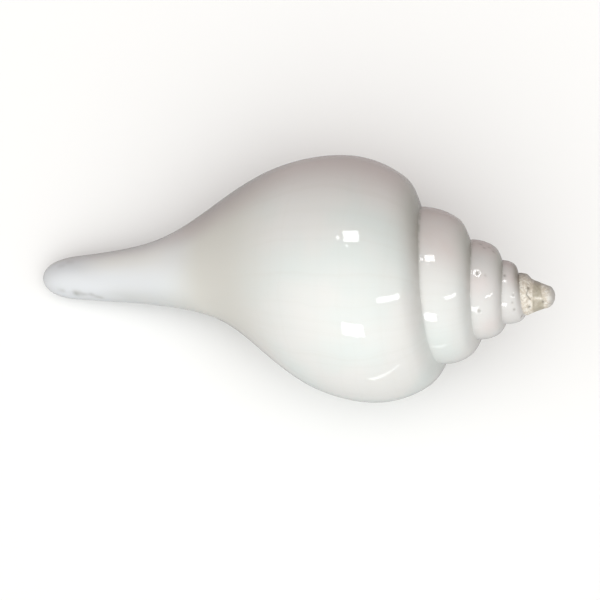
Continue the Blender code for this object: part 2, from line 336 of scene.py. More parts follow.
class ConchForm(bpy.types.PropertyGroup):
    """Sizes of the shell."""

    turns: FloatProperty(
        name="Turns",
        description="Whorls from the nucleus to the lip",
        default=6.5,
        min=3.0,
        max=8.0,
    )
    axial_growth: FloatProperty(
        name="Axial growth",
        description="How much taller each whorl is than the one before",
        default=1.51,
    )
    lip_angle: FloatProperty(
        name="Lip angle",
        description="Where the outer lip ends, turned about the axis",
        default=math.radians(135.0),
        subtype="ANGLE",
    )
    tip_down: FloatProperty(
        name="Canal tip",
        description="Distance down the axis to the tip of the canal",
        default=0.1514,
        unit="LENGTH",
    )
    canal_radius: FloatProperty(
        name="Canal radius",
        description="Radius of the canal at its middle",
        default=0.0062,
        unit="LENGTH",
    )
    wall: FloatProperty(
        name="Wall",
        description="Thickness of the shell at the lip",
        default=0.0026,
        unit="LENGTH",
    )
    wall_behind_lip: FloatProperty(
        name="Wall behind the lip",
        description="Thickness further inside",
        default=0.0046,
        unit="LENGTH",
    )
    fold_height: FloatProperty(
        name="Fold height",
        description="Height of the folds on the pillar",
        default=0.0015,
        unit="LENGTH",
    )
    waviness: FloatProperty(
        name="Waviness",
        description="Depth of the soft waves that polishing left",
        default=0.00005,
        unit="LENGTH",
    )
    rest_roll: FloatProperty(
        name="Roll at rest",
        description="Turn about the axis",
        default=math.radians(13.40),
        subtype="ANGLE",
    )
    rest_pitch: FloatProperty(
        name="Pitch at rest",
        description="Tip of the axis, canal down",
        default=math.radians(13.29),
        subtype="ANGLE",
    )


class ConchFinish(bpy.types.PropertyGroup):
    """Colours and gloss of the shell."""

    body: FloatVectorProperty(
        name="Body",
        description="Polished porcelain white",
        default=(0.69, 0.69, 0.675),
        subtype="COLOR",
    )
    cloud: FloatVectorProperty(
        name="Cloud",
        description="Cooler clouds in the white",
        default=(0.645, 0.685, 0.67),
        subtype="COLOR",
    )
    blush: FloatVectorProperty(
        name="Blush",
        description="Pink patches on the spire",
        default=(0.64, 0.565, 0.55),
        subtype="COLOR",
    )
    neck: FloatVectorProperty(
        name="Neck",
        description="Greyer band where the body runs into the canal, and the faint lines",
        default=(0.59, 0.58, 0.54),
        subtype="COLOR",
    )
    # Rosy tint and painted shade on the side of the outer lip that is turned from the light
    rosy_flank_and_shade: FloatVectorProperty(
        name="Flank",
        description="Rosy tinge on the side of the outer lip",
        default=(0.575, 0.50, 0.49),
        subtype="COLOR",
    )
    # Painted shade where the lip's side draws in towards the canal
    nape_shade: FloatVectorProperty(
        name="Nape",
        description="Grey where that side draws in towards the canal",
        default=(0.39, 0.36, 0.35),
        subtype="COLOR",
    )
    # Painted shade: greenish grey below the sutures along the back, and on the canal's forward side
    shoulder: FloatVectorProperty(
        name="Shoulder",
        description="Greenish grey below the sutures and on the front of the canal",
        default=(0.42, 0.42, 0.385),
        subtype="COLOR",
    )
    spire: FloatVectorProperty(
        name="Spire",
        description="Greyer white of the earlier whorls",
        default=(0.60, 0.59, 0.58),
        subtype="COLOR",
    )
    canal: FloatVectorProperty(
        name="Canal",
        description="Bluish white of the canal",
        default=(0.60, 0.615, 0.635),
        subtype="COLOR",
    )
    # Grey in the sutures: a little grime, mostly painted shade in the creases
    seam: FloatVectorProperty(
        name="Suture",
        description="Grey in the sutures",
        default=(0.25, 0.24, 0.21),
        subtype="COLOR",
    )
    throat: FloatVectorProperty(
        name="Throat",
        description="Peach inside the aperture",
        default=(0.80, 0.58, 0.43),
        subtype="COLOR",
    )
    chalk: FloatVectorProperty(
        name="Chalk",
        description="Cream of the worn whorls",
        default=(0.56, 0.505, 0.425),
        subtype="COLOR",
    )
    powder: FloatVectorProperty(
        name="Powder",
        description="Paler powder on the chalk",
        default=(0.73, 0.695, 0.63),
        subtype="COLOR",
    )
    umber: FloatVectorProperty(
        name="Umber",
        description="Brown band near the nucleus",
        default=(0.38, 0.345, 0.275),
        subtype="COLOR",
    )
    nucleus: FloatVectorProperty(
        name="Nucleus",
        description="Grey of the worn nucleus",
        default=(0.43, 0.425, 0.42),
        subtype="COLOR",
    )
    stain: FloatVectorProperty(
        name="Stain",
        description="Brown at the last white suture, and the freckles in the chalk",
        default=(0.17, 0.14, 0.11),
        subtype="COLOR",
    )
    grime: FloatVectorProperty(
        name="Grime",
        description="Dirt in the pits and the crack, and the marks on the canal",
        default=(0.15, 0.135, 0.11),
        subtype="COLOR",
    )
    polish: FloatProperty(
        name="Polish",
        description="Roughness of the polished skin",
        default=0.035,
        subtype="FACTOR",
    )
    dullness: FloatProperty(
        name="Dullness",
        description="Roughness of the chalky whorls",
        default=0.6,
        subtype="FACTOR",
    )


class ConchStage(bpy.types.PropertyGroup):
    """Floor, light and camera."""

    floor: FloatVectorProperty(
        name="Floor",
        description="Colour of the pale floor",
        default=(0.86, 0.86, 0.86),
        subtype="COLOR",
    )
    bounce: FloatVectorProperty(
        name="Bounce",
        description="Colour of the light that the floor throws back up",
        default=(0.50, 0.50, 0.50),
        subtype="COLOR",
    )
    bright: FloatVectorProperty(
        name="Bright side",
        description="Light from the room's bright side",
        default=(0.99, 1.0, 0.985),
        subtype="COLOR",
    )
    dim: FloatVectorProperty(
        name="Dim side",
        description="Light from the room's dim side",
        default=(0.08, 0.05, 0.042),
        subtype="COLOR",
    )
    skirting: FloatVectorProperty(
        name="Skirting",
        description="Light from low down all round the shell",
        default=(0.22, 0.19, 0.18),
        subtype="COLOR",
    )
    room: FloatProperty(
        name="Room",
        description="Brightness of the room around the floor",
        default=1.95,
    )
    windows: FloatProperty(
        name="Windows",
        description="Brightness of the small lights that show in the gloss",
        default=14.0,
    )
    camera_place: FloatVectorProperty(
        name="Camera place",
        description="Where the camera stands",
        default=(0.0069, -0.1104, 0.4700),
        subtype="TRANSLATION",
    )
    camera_turn: FloatVectorProperty(
        name="Camera turn",
        description="How the camera is turned",
        default=(math.radians(13.02), math.radians(-0.57), math.radians(4.51)),
        subtype="EULER",
    )
    lens: FloatProperty(name="Lens", description="Focal length", default=97.0)


def ease(value):
    """Rise smoothly from 0 to 1 as value goes from 0 to 1."""
    value = min(max(value, 0.0), 1.0)
    return value * value * (3.0 - 2.0 * value)


def mix(start, end, share):
    """Value at a share of the way from a start to an end."""
    return start + (end - start) * share


def rounding(distance, length):
    """Quarter circle from 0 at an end to 1 at a length away from it."""
    share = min(max(distance / length, 0.0), 1.0)
    return math.sqrt(share * (2.0 - share))


def bump_shape(distance, width):
    """Smooth hump, 1 at its middle and next to nothing at twice its width."""
    return math.exp(-((distance / width) ** 2))


def blend(first, second):
    """The larger of two radii, with a fillet where they are alike."""
    return (first ** CANAL_BLEND + second ** CANAL_BLEND) ** (1.0 / CANAL_BLEND)


def smooth_curve(points):
    """Return the natural cubic spline through points, as a function."""
    places, values = np.array(points).T
    widths = np.diff(places)
    rises = np.diff(values) / widths
    system = np.eye(len(places))
    pull = np.zeros(len(places))
    for i in range(1, len(widths)):
        system[i, i - 1:i + 2] = widths[i - 1], 2.0 * (widths[i - 1] + widths[i]), widths[i]
        pull[i] = 6.0 * (rises[i] - rises[i - 1])
    bends = np.linalg.solve(system, pull)

    def curve(place):
        place = min(max(place, places[0]), places[-1])
        i = min(int(np.searchsorted(places, place, "right")), len(widths)) - 1
        near, far, width = place - places[i], places[i + 1] - place, widths[i]
        value = (bends[i] * far ** 3 + bends[i + 1] * near ** 3) / (6.0 * width)
        value += (values[i] / width - bends[i] * width / 6.0) * far
        value += (values[i + 1] / width - bends[i + 1] * width / 6.0) * near
        return float(value)

    return curve


class Coil:
    """How the shell grows: where its outside, its hollow and its rims lie."""

    def __init__(self, form):
        self.turns = form.turns
        self.growth = form.axial_growth
        self.lip_angle = form.lip_angle
        self.tip_down = form.tip_down
        self.canal_radius = form.canal_radius
        self.wall_at_lip = form.wall
        self.wall_behind_lip = form.wall_behind_lip
        self.fold_height = form.fold_height
        self.outline = smooth_curve([(down * MM, radius * MM) for down, radius in WHORL_OUTLINE])
        self.radial_growth = self.outline(SUTURE_DOWN * self.growth) / SUTURE_RADIUS
        self.taper = math.log(self.radial_growth) / math.log(self.growth)
        bare = SUTURE_DOWN * (1.0 - 1.0 / self.growth)
        self.shoulder_share = bare / (self.tip_down - SUTURE_DOWN / self.growth)

    def suture_down(self, turn):
        """Distance down the axis to the suture that starts a whorl, at one turn."""
        return SUTURE_DOWN * self.growth ** turn

    def barrel(self, turn, down):
        """How much fuller the spire's whorls are between their sutures than the last one is."""
        size = self.growth ** turn
        share = (down / size - SUTURE_DOWN) / (SUTURE_DOWN * (self.growth - 1.0))
        share = min(max(share, 0.0), 1.0)
        fullness = ease((BARREL_STARTS - turn) / SPIRE_FADE)
        return BARREL * size * math.sin(math.pi * share ** BARREL_LEAN) * fullness

    def wander(self, turn):
        """How far down the axis a suture strays from the even spiral."""
        fullness = ease((WANDER_FIRST - turn) / SPIRE_FADE) * ease((turn - WANDER_LAST) / SPIRE_FADE)
        return (WANDER_MEAN - WANDER * math.cos(math.tau * (turn - WANDER_PHASE))) * fullness

    def nucleus_swell(self, down):
        """How much wider the nucleus is than an even coil."""
        return NUCLEUS_SWELL * bump_shape(down, NUCLEUS_REACH)

    def whorl_radius(self, turn, down):
        """Outside of the whorl alone, without the canal."""
        even = self.radial_growth ** turn * self.outline(down / self.growth ** turn)
        return even + self.barrel(turn, down) + self.nucleus_swell(down)

    def worn_radius(self, down):
        """Smooth cone through the whorls next to the nucleus."""
        return WORN_BULGE * SUTURE_RADIUS * (down / SUTURE_DOWN) ** self.taper + self.nucleus_swell(down)

    def dome(self, down):
        """Share of the radius left on the rounded tip of the canal."""
        share = min(max((down - self.tip_down + TIP_DOME) / TIP_DOME, 0.0), 1.0)
        return math.sqrt(1.0 - share ** TIP_BLUNTNESS)

    def outer_radius(self, turn, down):
        """Outside of the last whorl, run together with the canal."""
        canal = self.canal_radius + CANAL_TAPER * (CANAL_MIDDLE - down)
        canal *= ease((down - CANAL_STARTS) / (CANAL_FULL - CANAL_STARTS))
        return blend(self.whorl_radius(turn, down), canal) * self.dome(down)

    def inner_radius(self, turn, down):
        """Wall of the hollow nearest the axis: the whorl before, the pillar and its folds."""
        slim = ease((down - CANAL_FULL) / (CANAL_MIDDLE - CANAL_FULL))
        pillar = mix(PILLAR_RADIUS, PILLAR_TIP_RADIUS, slim)
        pillar *= ease((down - PILLAR_STARTS) / (PILLAR_FULL - PILLAR_STARTS))
        radius = blend(self.whorl_radius(turn - 1.0, down), pillar) + CALLUS
        for fold in FOLDS_DOWN:
            away = down / self.growth ** turn - fold
            radius += self.fold_height * bump_shape(away, FOLD_WIDTH) * ease(-turn / FOLD_FADE_TURNS)
        return radius * self.dome(down)

    def wall(self, turn, down):
        """Thickness of the shell, thinned where the room inside runs out."""
        space = self.outer_radius(turn, down) - self.inner_radius(turn, down)
        full = mix(self.wall_at_lip, self.wall_behind_lip, ease(-turn / THICKENING_TURNS))
        return full * space / (space + full)

    def place(self, spot):
        """Put a spot of the skin in the shell's own frame."""
        angle = self.lip_angle + math.tau * spot.turn
        shift = CANAL_OFFSET * ease((spot.down - CANAL_STARTS) / (CANAL_OFFSET_FULL - CANAL_STARTS))
        across = Vector((0.0, math.sin(angle), math.cos(angle))) * spot.radius
        across += Vector((0.0, math.cos(angle), -math.sin(angle))) * spot.beside
        across += Vector((0.0, math.sin(CANAL_OFFSET_ANGLE), math.cos(CANAL_OFFSET_ANGLE))) * shift
        return Vector((-spot.down - spot.stray, 0.0, 0.0)) + across

    def row_share(self, row):
        """How far down the last whorl a row lies: 0 at the suture, 1 at the tip."""
        if row <= SHOULDER_ROWS:
            return self.shoulder_share * (row / SHOULDER_ROWS) ** SHOULDER_CROWDING
        row -= SHOULDER_ROWS
        if row <= SIDE_ROWS:
            return mix(self.shoulder_share, SIDE_SHARE, row / SIDE_ROWS)
        row -= SIDE_ROWS
        if row <= BASE_ROWS:
            return mix(SIDE_SHARE, BASE_SHARE, row / BASE_ROWS)
        row -= BASE_ROWS
        return mix(BASE_SHARE, 1.0, math.sin(0.5 * math.pi * row / DOME_ROWS))

    def below_shoulder(self, row):
        """Share of a row between the end of the shoulder and the tip."""
        return (self.row_share(row) - self.shoulder_share) / (1.0 - self.shoulder_share)

    def gap(self, row):
        """Turn between the lip and the start of the last whorl's outside, for one row."""
        down = mix(SUTURE_DOWN, self.tip_down, self.below_shoulder(row))
        spread = CALLUS_SPREAD * ease((down - SUTURE_DOWN) / (CALLUS_FULL - SUTURE_DOWN))
        spread += (CANAL_SLOT - CALLUS_SPREAD) * ease((down - SLOT_STARTS) / (SLOT_FULL - SLOT_STARTS))
        return spread * rounding(self.tip_down - down, TIP_DOME)

    def early_whorls(self, column, row):
        """The spire: only the part of each whorl that the next one leaves bare."""
        return self.bare_spot(column / COLUMNS - self.turns, self.row_share(row) / self.shoulder_share)

    def bare_spot(self, turn, share):
        """Spot on the bare part of a whorl, from 0 at its suture to 1 at the next."""
        down = mix(self.suture_down(turn), self.suture_down(turn + 1.0), share)
        stray = mix(self.wander(turn), self.wander(turn + 1.0), share)
        wear = WORN_SHARE * ease((WORN_STARTS - turn - share) / WORN_FADE)
        return Spot(turn, down, mix(self.whorl_radius(turn, down), self.worn_radius(down), wear), stray=stray)

    def last_whorl_spot(self, turn, row):
        """Spot on the outside of the last whorl, for one row."""
        down = mix(self.suture_down(turn), self.tip_down, self.row_share(row))
        return Spot(turn, down, self.outer_radius(turn, down))

    def last_whorl(self, column, row):
        """The last whorl's outside, from the edge of the callus round to the lip."""
        return self.last_whorl_spot(-(1.0 - self.gap(row)) * (1.0 - column / COLUMNS), row)

    def hollow_spot(self, turn, row):
        """A ring of the hollow: rows run down its outer side, then back up its inner side."""
        growth = self.growth ** turn
        start = HOLLOW_START * growth
        end = HOLLOW_END * growth + CHANNEL_REACH * ease(1.0 + turn / CHANNEL_DEPTH)
        side = 1.0
        share = self.row_share(row)
        if row > ROWS:
            side = -1.0
            share = self.below_shoulder(2 * ROWS - row)
        down = mix(start, end, share)
        inner = self.inner_radius(turn, down)
        outer = self.outer_radius(turn, down) - self.wall(turn, down)
        width = rounding(down - start, POSTERIOR_ROUND * growth)
        width *= rounding(end - down, ANTERIOR_ROUND * growth)
        radius = mix(inner, outer, 0.5 + 0.5 * side * width)
        shrink = rounding(turn + HOLLOW_TURNS, HOLLOW_ROUND)
        middle = mix(start, end, HOLLOW_MIDDLE)
        middle_radius = 0.5 * (self.inner_radius(turn, middle) + self.outer_radius(turn, middle))
        return Spot(turn, mix(middle, down, shrink), mix(middle_radius, radius, shrink), 0.0, 1.0)

    def hollow(self, column, row):
        """The hollow, from the lip inwards."""
        return self.hollow_spot(-column / HOLLOW_COLUMNS, row)

    def lip_edge(self, step, row):
        """Round the outer lip over from the outside to the hollow."""
        share = 0.5 - 0.5 * math.cos(math.pi * step / STRIP_ROWS)
        outside = self.last_whorl_spot(0.0, row)
        inside = self.hollow_spot(0.0, row)
        thickness = math.hypot(inside.down - outside.down, inside.radius - outside.radius)
        fullness = ease(self.row_share(row) / LIP_ROUND_AT_SUTURE)
        fullness *= ease((1.0 - self.row_share(row)) / LIP_ROUND_AT_TIP)
        beside = 0.5 * thickness * math.sin(math.pi * step / STRIP_ROWS) * fullness
        down = mix(outside.down, inside.down, share)
        return Spot(0.0, down, mix(outside.radius, inside.radius, share), beside, share)

    def inner_lip(self, step, row):
        """Lead from the last whorl's start into the hollow: callus above, slot edge below."""
        row += SHOULDER_ROWS
        share = 0.5 - 0.5 * math.cos(math.pi * step / STRIP_ROWS)
        outside = self.last_whorl_spot(self.gap(row) - 1.0, row)
        inside = self.hollow_spot(0.0, 2 * ROWS - row)
        turn = mix(outside.turn, -1.0, step / STRIP_ROWS)
        down = mix(outside.down, inside.down, share)
        return Spot(turn, down, mix(outside.radius, inside.radius, share), 0.0, share)


def add_sheet(skin, coil, columns, rows, spot_at):
    """Lay a grid of faces whose corners are the spots at each column and row."""
    turn, down, throat = (skin.verts.layers.float[name] for name in ("turn", "down", "throat"))
    made = bmesh.ops.create_grid(skin, x_segments=columns, y_segments=rows, size=1.0)
    for vert in made["verts"]:
        column = round((vert.co.x + 1.0) / 2.0 * columns)
        row = round((vert.co.y + 1.0) / 2.0 * rows)
        spot = spot_at(column, row)
        vert.co = coil.place(spot)
        vert[turn] = spot.turn
        vert[down] = spot.down
        vert[throat] = spot.throat


def close_nucleus(skin):
    """Draw the open edge at the nucleus together, ring by ring, into a blunt nose."""
    down = skin.verts.layers.float["down"]
    nose = Vector((-NOSE_DOWN, 0.0, 0.0))
    for ring in range(NOSE_RINGS):
        before = 0.5 * math.pi * ring / (NOSE_RINGS + 1)
        after = 0.5 * math.pi * (ring + 1) / (NOSE_RINGS + 1)
        along = (1.0 - math.sin(after)) / (1.0 - math.sin(before))
        across = math.cos(after) / math.cos(before)
        rim = [edge for edge in skin.edges if edge.is_boundary]
        made = bmesh.ops.extrude_edge_only(skin, edges=rim)
        for vert in (item for item in made["geom"] if isinstance(item, bmesh.types.BMVert)):
            vert.co = nose + (vert.co - nose) * Vector((along, across, across))
            vert[down] = -vert.co.x
    rim = [edge for edge in skin.edges if edge.is_boundary]
    bmesh.ops.contextual_create(skin, geom=rim)
    bmesh.ops.poke(skin, faces=[face for face in skin.faces if len(face.verts) > 4])


def grow_skin(coil):
    """Lay the sheets that make the outside and the hollow, and weld them into one skin."""
    skin = bmesh.new()
    for name in LAYERS:
        skin.verts.layers.float.new(name)
    add_sheet(skin, coil, round((coil.turns - 1.0) * COLUMNS), SHOULDER_ROWS, coil.early_whorls)
    add_sheet(skin, coil, COLUMNS, ROWS, coil.last_whorl)
    add_sheet(skin, coil, STRIP_ROWS, ROWS, coil.lip_edge)
    add_sheet(skin, coil, STRIP_ROWS, ROWS - SHOULDER_ROWS, coil.inner_lip)
    add_sheet(skin, coil, math.ceil(HOLLOW_TURNS * HOLLOW_COLUMNS), HOLLOW_ROWS, coil.hollow)
    bmesh.ops.remove_doubles(skin, verts=skin.verts, dist=WELD)
    close_nucleus(skin)
    bmesh.ops.recalc_face_normals(skin, faces=skin.faces)
    return skin


def nearest_on(point, start, end):
    """Nearest point of a straight stretch."""
    place, share = geometry.intersect_point_line(point, start, end)
    return start + (end - start) * min(max(share, 0.0), 1.0)


def turned_away(turn, middle):
    """How far a turn is from the middle's side of the shell, whichever whorl it is on."""
    return (turn - middle + 0.5) % 1.0 - 0.5


def one_side(turn, middle, reach, fade):
    """1 on the middle's side of the shell, fading to 0 where a spot is its reach away."""
    return ease((reach - abs(turned_away(turn, middle))) / fade)


def note_finish(vert, layers, coil):
    """Note on a corner of the skin how much of each finish, painted shade and painted light lies there."""
    here = vert[layers["turn"]]
    down = vert[layers["down"]]
    top = coil.suture_down(here)
    share = (down - top) / (coil.suture_down(here + 1.0) - top)
    back = ease(0.5 + 0.5 * math.cos(math.tau * (here - BACK_TURN)))
    on_spire = here < -1.0
    # Painted shade in the creases of the sutures, with a little grime, stronger along the back
    seam = bump_shape(share, SEAM_BELOW) + bump_shape(1.0 - share, SEAM_ABOVE) * on_spire
    # Painted shade below the sutures, on the back only
    behind = one_side(here, BACK_TURN, SHOULDER_REACH, SHOULDER_FADE)
    umber_starts = mix(UMBER_STARTS_IN_FRONT, UMBER_STARTS_BEHIND, back)
    noted = {
        "seam": seam * mix(SEAM_IN_FRONT, 1.0, back),
        "shoulder": bump_shape(share, SHOULDER_WIDTH) * behind,
        "rosy_flank_and_shade": one_side(here, FLANK_TURN, FLANK_REACH, FLANK_FADE),
        # Sides of the canal: painted light on the upper one, painted shade on the forward one
        "lit_crest": bump_shape(turned_away(here, CREST_TURN), CREST_TURNS),
        "front": bump_shape(turned_away(here, FRONT_TURN), FRONT_TURNS),
        "chalk": ease((CHALK_TURN - here) / CHALK_FADE),
        "umber": ease((down - umber_starts) / UMBER_FADE) * ease((UMBER_ENDS - down) / UMBER_FADE),
        "stain": bump_shape(share, STAIN_WIDTH) * bump_shape(here - STAIN_TURN, STAIN_TURNS),
    }
    noted["umber"] *= 1.0 - bump_shape(turned_away(here, UMBER_GAP_TURN), UMBER_GAP_TURNS)
    for name, amount in noted.items():
        vert[layers[name]] = amount * (1.0 - vert[layers["throat"]])


def marks_of(coil):
    """Every pit and dark mark, with its middle in the shell's own frame."""
    marks = []
    for pit in PITS:
        middle = coil.place(coil.bare_spot(pit.turn, pit.share))
        marks.append(Mark(middle, pit.width, pit.depth, pit.grime))
    for stain in STAINS:
        spot = Spot(stain.turn, stain.down, coil.outer_radius(stain.turn, stain.down))
        marks.append(Mark(coil.place(spot), stain.width, 0.0, stain.grime))
    return marks


def wear_skin(skin, coil, waviness):
    """Press the pits, the crack and the wear into the skin, and note where each finish lies."""
    layers = {name: skin.verts.layers.float[name] for name in LAYERS}
    throat, blush, chalk, grime = (layers[name] for name in ("throat", "blush", "chalk", "grime"))
    marks = marks_of(coil)
    blushes = [(coil.place(coil.bare_spot(pink.turn, pink.share)), pink) for pink in BLUSHES]
    crack = [coil.place(coil.bare_spot(*corner)) for corner in CRACK]
    skin.normal_update()
    for vert in skin.verts:
        note_finish(vert, layers, coil)
        vert[blush] = sum(
            pink.strength * bump_shape((vert.co - middle).length, pink.width) for middle, pink in blushes
        )
        depth = 0.0
        for mark in marks:
            near = bump_shape((vert.co - mark.middle).length, mark.width)
            depth += mark.depth * near
            vert[grime] = max(vert[grime], mark.grime * near)
        if vert[chalk] > 0.0:
            ends = zip(crack, crack[1:])
            away = min((vert.co - nearest_on(vert.co, start, end)).length for start, end in ends)
            near = bump_shape(away, CRACK_WIDTH)
            depth += CRACK_DEPTH * near
            vert[grime] = max(vert[grime], CRACK_GRIME * near)
        height = waviness * noise.noise(vert.co / WAVE_LENGTH) * (1.0 - vert[throat])
        crumbs = noise.fractal(vert.co / CHALK_GRAIN, CHALK_SOFTNESS, CHALK_STEP, CHALK_OCTAVES)
        height += CHALK_RELIEF * crumbs * vert[chalk]
        vert.co += vert.normal * (height - depth)


def rest_matrix(form):
    """Attitude of the shell as it lies on its aperture."""
    return Matrix.Rotation(-form.rest_pitch, 4, "Y") @ Matrix.Rotation(form.rest_roll, 4, "X")


def corners(points):
    """Lowest and highest corner of the box round some points."""
    places = np.array([point[:] for point in points])
    return Vector(places.min(axis=0)), Vector(places.max(axis=0))


def lay_to_rest(skin, form):
    """Turn the shell as it lies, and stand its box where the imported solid's box is."""
    bmesh.ops.transform(skin, matrix=rest_matrix(form), verts=skin.verts)
    low, high = corners(vert.co for vert in skin.verts)
    cad_low, cad_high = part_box(CAD_NODE)
    shift = (cad_low + cad_high - low - high) / 2.0
    shift.z = cad_low.z - low.z
    bmesh.ops.translate(skin, vec=shift, verts=skin.verts)


class Signal:
    """A socket that carries numbers. Arithmetic on signals adds the Math nodes."""

    def __init__(self, finish, socket):
        self.finish = finish
        self.socket = socket

    def math(self, operation, first, second):
        """Result of a Math node on two numbers or signals."""
        return self.finish.node("ShaderNodeMath", {"operation": operation}, {0: first, 1: second})

    def __add__(self, other):
        return self.math("ADD", self, other)

    def __radd__(self, other):
        return self.math("ADD", other, self)

    def __sub__(self, other):
        return self.math("SUBTRACT", self, other)

    def __rsub__(self, other):
        return self.math("SUBTRACT", other, self)

    def __mul__(self, other):
        return self.math("MULTIPLY", self, other)

    def __rmul__(self, other):
        return self.math("MULTIPLY", other, self)


class Nodes:
    """A node tree, and the shader that its signals feed."""

    def __init__(self, owner, shader):
        owner.use_nodes = True
        self.owner = owner
        self.tree = owner.node_tree
        self.shader = self.tree.nodes[shader]

    def fill(self, socket, value):
        """Link a signal to a socket, or set the socket to a plain value."""
        if isinstance(value, Signal):
            self.tree.links.new(value.socket, socket)
        else:
            socket.default_value = value

    def node(self, kind, settings=None, inputs=None, output=0):
        """Add a node: its settings first, then the values or links of its sockets."""
        node = self.tree.nodes.new(kind)
        for name, value in (settings or {}).items():
            setattr(node, name, value)
        for key, value in (inputs or {}).items():
            self.fill(node.inputs[key], value)
        return Signal(self, node.outputs[output])

    def slope(self, signal, low, high):
        """Smooth rise from 0 where the signal is low to 1 where it is high."""
        settings = {"interpolation_type": "SMOOTHSTEP"}
        return self.node("ShaderNodeMapRange", settings, {"Value": signal, "From Min": low, "From Max": high})

    def band(self, signal, comes, goes):
        """Rise from 0 to 1 over one range of the signal, and fall back over a later one."""
        return self.slope(signal, *comes) * (1.0 - self.slope(signal, *goes))

    def tint(self, under, over, share):
        """Mix two colours."""
        under, over = (item if isinstance(item, Signal) else (*item, 1.0) for item in (under, over))
        settings = {"data_type": "RGBA", "clamp_factor": True}
        return self.node("ShaderNodeMix", settings, {0: share, 6: under, 7: over}, 2)

    def set(self, **values):
        """Fill the shader's sockets, named with underscores for their spaces."""
        for name, value in values.items():
            self.fill(self.shader.inputs[name.replace("_", " ")], value)


class Finish(Nodes):
    """A material."""

    def __init__(self, name):
        super().__init__(bpy.data.materials.new(name), "Principled BSDF")

    def place(self):
        """Object coordinates, the same in every view and pose."""
        return self.node("ShaderNodeTexCoord", output="Object")

    def noted(self, name):
        """A number noted on the skin's corners."""
        return self.node("ShaderNodeAttribute", {"attribute_name": name}, output="Fac")

    def grain(self, size, detail=3.0, roughness=0.5):
        """Noise about 0.5 whose lumps are about one size across."""
        inputs = {"Vector": self.place(), "Scale": 1.0 / size, "Detail": detail, "Roughness": roughness}
        return self.node("ShaderNodeTexNoise", inputs=inputs, output="Fac")

    def patches(self, kind):
        """1 in the lumps of a noise and 0 between them, with soft edges."""
        return self.slope(self.grain(kind.size, kind.detail, kind.roughness), kind.low, kind.high)

    def uneven(self, kind):
        """Strength of a tint that is stronger in some lumps than in others."""
        return kind.least + kind.spread * self.grain(kind.size)

    def lines(self, signal, kind):
        """Faint lines at right angles to the way in which a signal grows."""
        inputs = {"W": signal * (1.0 / kind.pitch), "Scale": 1.0, "Detail": 4.0, "Roughness": 0.7}
        strength = self.node("ShaderNodeTexNoise", {"noise_dimensions": "1D"}, inputs, "Fac")
        return self.slope(strength, *LINES_COME) * kind.share


def growth_lines(finish, turn, down):
    """Faint lines that growing left across the whorls, and fainter ones along them."""
    sway = finish.grain(SWAY_SIZE, SWAY_DETAIL)
    across = finish.lines(turn + sway * GROWTH_LINES.sway, GROWTH_LINES)
    return across + finish.lines(down + sway * SPIRAL_LINES.sway, SPIRAL_LINES)


def body_colour(finish, look, turn, down, neck):
    """Cloudy white, greyer at the neck and up the spire, bluish along the canal, with painted light on the
    canal's upper side and on the spire's forward side, and painted shade on the canal's forward side.
    """
    colour = finish.tint(look.body, look.cloud, finish.patches(CLOUDS))
    colour = finish.tint(colour, look.neck, growth_lines(finish, turn, down))
    colour = finish.tint(colour, look.neck, neck)
    colour = finish.tint(colour, look.canal, finish.slope(down, *CANAL_COMES))
    # Painted light: the canal's upper side is tinted back to the body's white
    lit_crest = finish.noted("lit_crest") * finish.band(down, CREST_COMES, CREST_GOES)
    colour = finish.tint(colour, look.body, lit_crest)
    # Painted shade on the canal's forward side, and painted light that whitens the spire's forward side
    front = finish.noted("front")
    shade = front * finish.band(down, FRONT_COMES, FRONT_GOES) * FRONT_SHARE
    colour = finish.tint(colour, look.shoulder, shade)
    spire_painted_light = front * finish.slope(turn, *SPIRE_WHITENS) * WHITER_SHARE
    spire = (1.0 - finish.slope(turn, *SPIRE_GOES)) * (1.0 - spire_painted_light)
    return finish.tint(colour, look.spire, spire)


def side_colour(finish, look, colour, down, neck):
    """Pink patches, a rosy tint with painted shade on the side of the lip and darker painted shade where it
    draws in, and grime with painted shade by the sutures.
    """
    colour = finish.tint(colour, look.blush, finish.noted("blush") * finish.uneven(BLUSH_TINT))
    # Rosy tint and painted shade on the side of the lip turned from the light, weaker on the canal
    rosy_flank_and_shade = finish.noted("rosy_flank_and_shade")
    rosy = rosy_flank_and_shade * (1.0 - finish.slope(down, *CANAL_COMES) * CANAL_OVER_FLANK)
    colour = finish.tint(colour, look.rosy_flank_and_shade, rosy)
    # Painted shade where that side draws in towards the canal
    colour = finish.tint(colour, look.nape_shade, rosy_flank_and_shade * neck * NAPE_SHARE)
    # Painted shade below the sutures along the back
    colour = finish.tint(colour, look.shoulder, finish.noted("shoulder"))
    # Grime and painted shade in the sutures
    return finish.tint(colour, look.seam, finish.noted("seam") * finish.uneven(SEAM_TINT))


def chalk_colour(finish, look, down):
    """Powdery cream with a brown band, grey at the nucleus, and painted shade on the side by the lip."""
    colour = finish.tint(look.chalk, look.powder, finish.patches(POWDER))
    brown = UMBER_LEAST + (1.0 - UMBER_LEAST) * finish.patches(UMBER_PATCHES)
    colour = finish.tint(colour, look.umber, finish.noted("umber") * brown)
    # Painted shade on the chalky whorls' side by the lip
    colour = finish.tint(colour, look.nape_shade, finish.noted("rosy_flank_and_shade") * NAPE_ON_CHALK)
    colour = finish.tint(colour, look.stain, finish.patches(FRECKLES) * FRECKLE_SHARE)
    return finish.tint(colour, look.nucleus, (1.0 - finish.slope(down, *NUCLEUS_GOES)) * NUCLEUS_SHARE)


